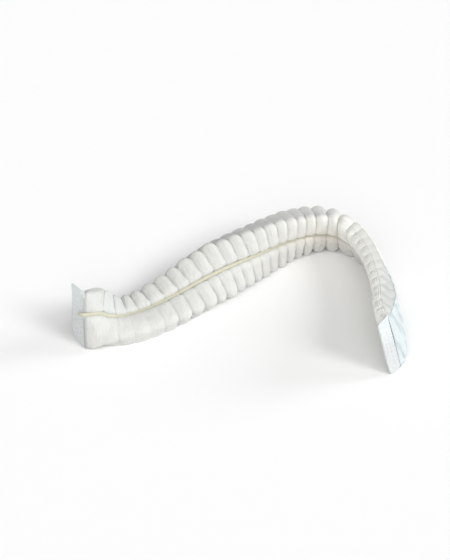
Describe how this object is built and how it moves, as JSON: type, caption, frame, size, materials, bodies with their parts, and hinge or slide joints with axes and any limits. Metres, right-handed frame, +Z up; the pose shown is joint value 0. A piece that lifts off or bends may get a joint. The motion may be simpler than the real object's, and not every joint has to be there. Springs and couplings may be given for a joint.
{
  "type": "bouffant cap in its folded strip form",
  "caption": "Disposable hair cap as stored: a thin sheet folded lengthwise into a narrow strip, gathered into cross ribs by an elastic band and welded flat at both ends.",
  "frame": {"origin": "centre of the footprint, on the surface that the cap lies on", "axes": "+Z up from the surface; +X along the strip's longest reach, from the end that lies back towards the bend; the bent end comes towards -Y"},
  "size_m": [0.1324, 0.0833, 0.0271],
  "materials": {
    "nonwoven": "matt white spunbonded polypropylene nonwoven, thin and soft, slightly translucent",
    "weld": "the same nonwoven pressed into a thin plate, satin, embossed with small round dots",
    "elastic": "pale yellowish beige flat elastic, matt"
  },
  "bodies": {
    "root": {"pleated_body": "nonwoven", "elastic_band": "elastic", "left_end_weld": "weld", "right_end_weld": "weld"}
  },
  "joints": []
}
